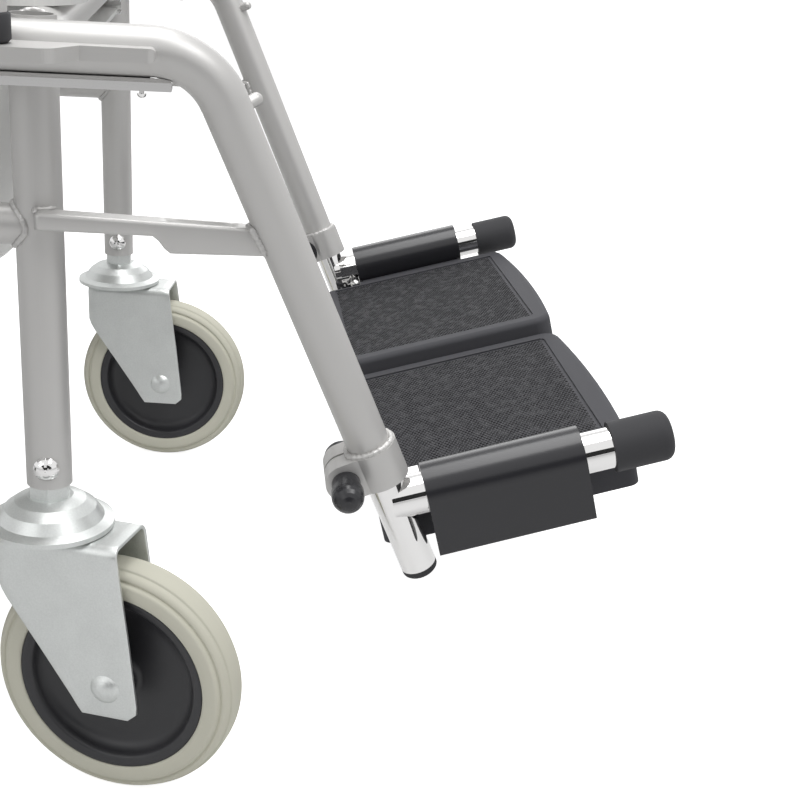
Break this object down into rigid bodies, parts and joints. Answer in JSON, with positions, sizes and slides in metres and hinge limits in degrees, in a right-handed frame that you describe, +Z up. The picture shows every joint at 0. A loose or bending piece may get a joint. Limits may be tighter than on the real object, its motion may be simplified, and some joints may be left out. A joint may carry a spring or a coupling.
{
  "type": "mobile commode chair",
  "caption": "Wheeled commode chair: tubular steel frame on swivel castors, padded seat with lift-out centre over a pan, flip-up arms and footrests.",
  "frame": {"origin": "centre of the bounding box at floor level", "axes": "+Z up, -Y towards the front where the footplates are, +X towards the sitter's left"},
  "size_m": [0.652, 0.9228, 0.9415],
  "materials": {
    "frame_paint": "satin",
    "chrome": "polished",
    "zinc": "satin",
    "hub_plastic": "satin",
    "tyre_rubber": "matte",
    "black_plastic": "semi-gloss",
    "black_rubber": "matte",
    "plate_plastic": "matte",
    "white_plastic": "semi-gloss",
    "vinyl": "satin"
  },
  "bodies": {
    "frame": {"side_frame_right": "frame_paint", "side_frame_left": "frame_paint", "front_post_right": "frame_paint", "front_post_left": "frame_paint", "rear_post_right": "frame_paint", "rear_post_left": "frame_paint", "front_cross_tube": "frame_paint", "rear_cross_tube": "frame_paint", "lower_side_tube_right": "frame_paint", "lower_side_tube_left": "frame_paint", "front_brace_right": "frame_paint", "front_brace_left": "frame_paint", "clamp_collar_right": "frame_paint", "clamp_collar_left": "frame_paint", "swivel_bearings": "zinc", "pan_rails": "chrome", "rail_strips": "chrome", "seat_board": "white_plastic", "seat_cushion": "vinyl", "backrest": "vinyl", "clamp_nuts": "black_plastic", "handle_grip_right": "black_rubber", "handle_grip_left": "black_rubber", "small_fittings": "chrome"},
    "knob_right": {"clamp_knob_right": "black_plastic"},
    "footrest_right": {"foot_tube_right": "chrome", "foot_tube_caps_right": "black_rubber", "plate_stop_right": "chrome"},
    "plate_right": {"hinge_barrel_right": "black_plastic", "footplate_right": "plate_plastic"},
    "arm_right": {"arm_tube_right": "frame_paint", "arm_pad_right": "black_rubber"},
    "knob_left": {"clamp_knob_left": "black_plastic"},
    "footrest_left": {"foot_tube_left": "chrome", "foot_tube_caps_left": "black_rubber", "plate_stop_left": "chrome"},
    "plate_left": {"hinge_barrel_left": "black_plastic", "footplate_left": "plate_plastic"},
    "arm_left": {"arm_tube_left": "frame_paint", "arm_pad_left": "black_rubber"},
    "castor_front_right": {"castor_fork_front_right": "zinc", "castor_axle_front_right": "zinc"},
    "wheel_front_right": {"castor_hub_front_right": "hub_plastic", "castor_tyre_front_right": "tyre_rubber"},
    "castor_front_left": {"castor_fork_front_left": "zinc", "castor_axle_front_left": "zinc"},
    "wheel_front_left": {"castor_hub_front_left": "hub_plastic", "castor_tyre_front_left": "tyre_rubber"},
    "castor_rear_right": {"castor_fork_rear_right": "zinc", "castor_axle_rear_right": "zinc"},
    "wheel_rear_right": {"castor_hub_rear_right": "hub_plastic", "castor_tyre_rear_right": "tyre_rubber"},
    "pedal_right": {"brake_pedal_right": "black_plastic"},
    "castor_rear_left": {"castor_fork_rear_left": "zinc", "castor_axle_rear_left": "zinc"},
    "wheel_rear_left": {"castor_hub_rear_left": "hub_plastic", "castor_tyre_rear_left": "tyre_rubber"},
    "pedal_left": {"brake_pedal_left": "black_plastic"},
    "pan": {"pan": "white_plastic"},
    "plug": {"seat_plug": "vinyl"}
  },
  "joints": [
    {"name": "knob_turn_right", "type": "hinge", "parent": "frame", "child": "knob_right", "pos_m": [-0.25824, -0.2625, 0.19964], "axis": [-0.9945, 0, -0.1045], "continuous": true},
    {"name": "footrest_height_right", "type": "slide", "parent": "frame", "child": "footrest_right", "axis": [0.0961, -0.3939, -0.9141], "range_m": [0, 0.1]},
    {"name": "footplate_flip_right", "type": "hinge", "parent": "footrest_right", "child": "plate_right", "pos_m": [-0.25631, -0.29165, 0.18122], "axis": [0, -0.9664, 0.2571], "range_deg": [0, 80]},
    {"name": "arm_flip_right", "type": "hinge", "parent": "frame", "child": "arm_right", "pos_m": [-0.309, 0.30644, 0.668], "axis": [-1, 0, 0], "range_deg": [0, 100]},
    {"name": "knob_turn_left", "type": "hinge", "parent": "frame", "child": "knob_left", "pos_m": [0.25824, -0.2625, 0.19964], "axis": [0.9945, 0, -0.1045], "continuous": true},
    {"name": "footrest_height_left", "type": "slide", "parent": "frame", "child": "footrest_left", "axis": [-0.0961, -0.3939, -0.9141], "range_m": [0, 0.1]},
    {"name": "footplate_flip_left", "type": "hinge", "parent": "footrest_left", "child": "plate_left", "pos_m": [0.25631, -0.29165, 0.18122], "axis": [0, 0.9664, -0.2571], "range_deg": [0, 77]},
    {"name": "arm_flip_left", "type": "hinge", "parent": "frame", "child": "arm_left", "pos_m": [0.309, 0.30644, 0.668], "axis": [-1, 0, 0], "range_deg": [0, 100]},
    {"name": "castor_swivel_front_right", "type": "hinge", "parent": "frame", "child": "castor_front_right", "pos_m": [-0.258, -0.09356, 0.075], "axis": [0, 0, 1], "continuous": true},
    {"name": "wheel_roll_front_right", "type": "hinge", "parent": "castor_front_right", "child": "wheel_front_right", "pos_m": [-0.27249, -0.13192, 0.075], "axis": [0.9354, -0.3535, 0], "continuous": true},
    {"name": "castor_swivel_front_left", "type": "hinge", "parent": "frame", "child": "castor_front_left", "pos_m": [0.258, -0.09356, 0.075], "axis": [0, 0, 1], "continuous": true},
    {"name": "wheel_roll_front_left", "type": "hinge", "parent": "castor_front_left", "child": "wheel_front_left", "pos_m": [0.25215, -0.13414, 0.075], "axis": [0.9898, -0.1426, 0], "continuous": true},
    {"name": "castor_swivel_rear_right", "type": "hinge", "parent": "frame", "child": "castor_rear_right", "pos_m": [-0.258, 0.30644, 0.075], "axis": [0, 0, 1], "continuous": true},
    {"name": "wheel_roll_rear_right", "type": "hinge", "parent": "castor_rear_right", "child": "wheel_rear_right", "pos_m": [-0.26792, 0.26665, 0.075], "axis": [0.9703, -0.2419, 0], "continuous": true},
    {"name": "brake_pedal_right", "type": "hinge", "parent": "castor_rear_right", "child": "pedal_right", "pos_m": [-0.27397, 0.2424, 0.153], "axis": [0.9703, -0.2419, 0], "range_deg": [0, 20]},
    {"name": "castor_swivel_rear_left", "type": "hinge", "parent": "frame", "child": "castor_rear_left", "pos_m": [0.258, 0.30644, 0.075], "axis": [0, 0, 1], "continuous": true},
    {"name": "wheel_roll_rear_left", "type": "hinge", "parent": "castor_rear_left", "child": "wheel_rear_left", "pos_m": [0.25018, 0.26619, 0.075], "axis": [0.9816, -0.1908, 0], "continuous": true},
    {"name": "brake_pedal_left", "type": "hinge", "parent": "castor_rear_left", "child": "pedal_left", "pos_m": [0.24541, 0.24165, 0.153], "axis": [0.9816, -0.1908, 0], "range_deg": [0, 20]},
    {"name": "pan_slide", "type": "slide", "parent": "frame", "child": "pan", "axis": [0, 1, 0], "range_m": [0, 0.4]},
    {"name": "plug_lift", "type": "slide", "parent": "frame", "child": "plug", "axis": [0, 0, 1], "range_m": [0, 0.08]}
  ]
}
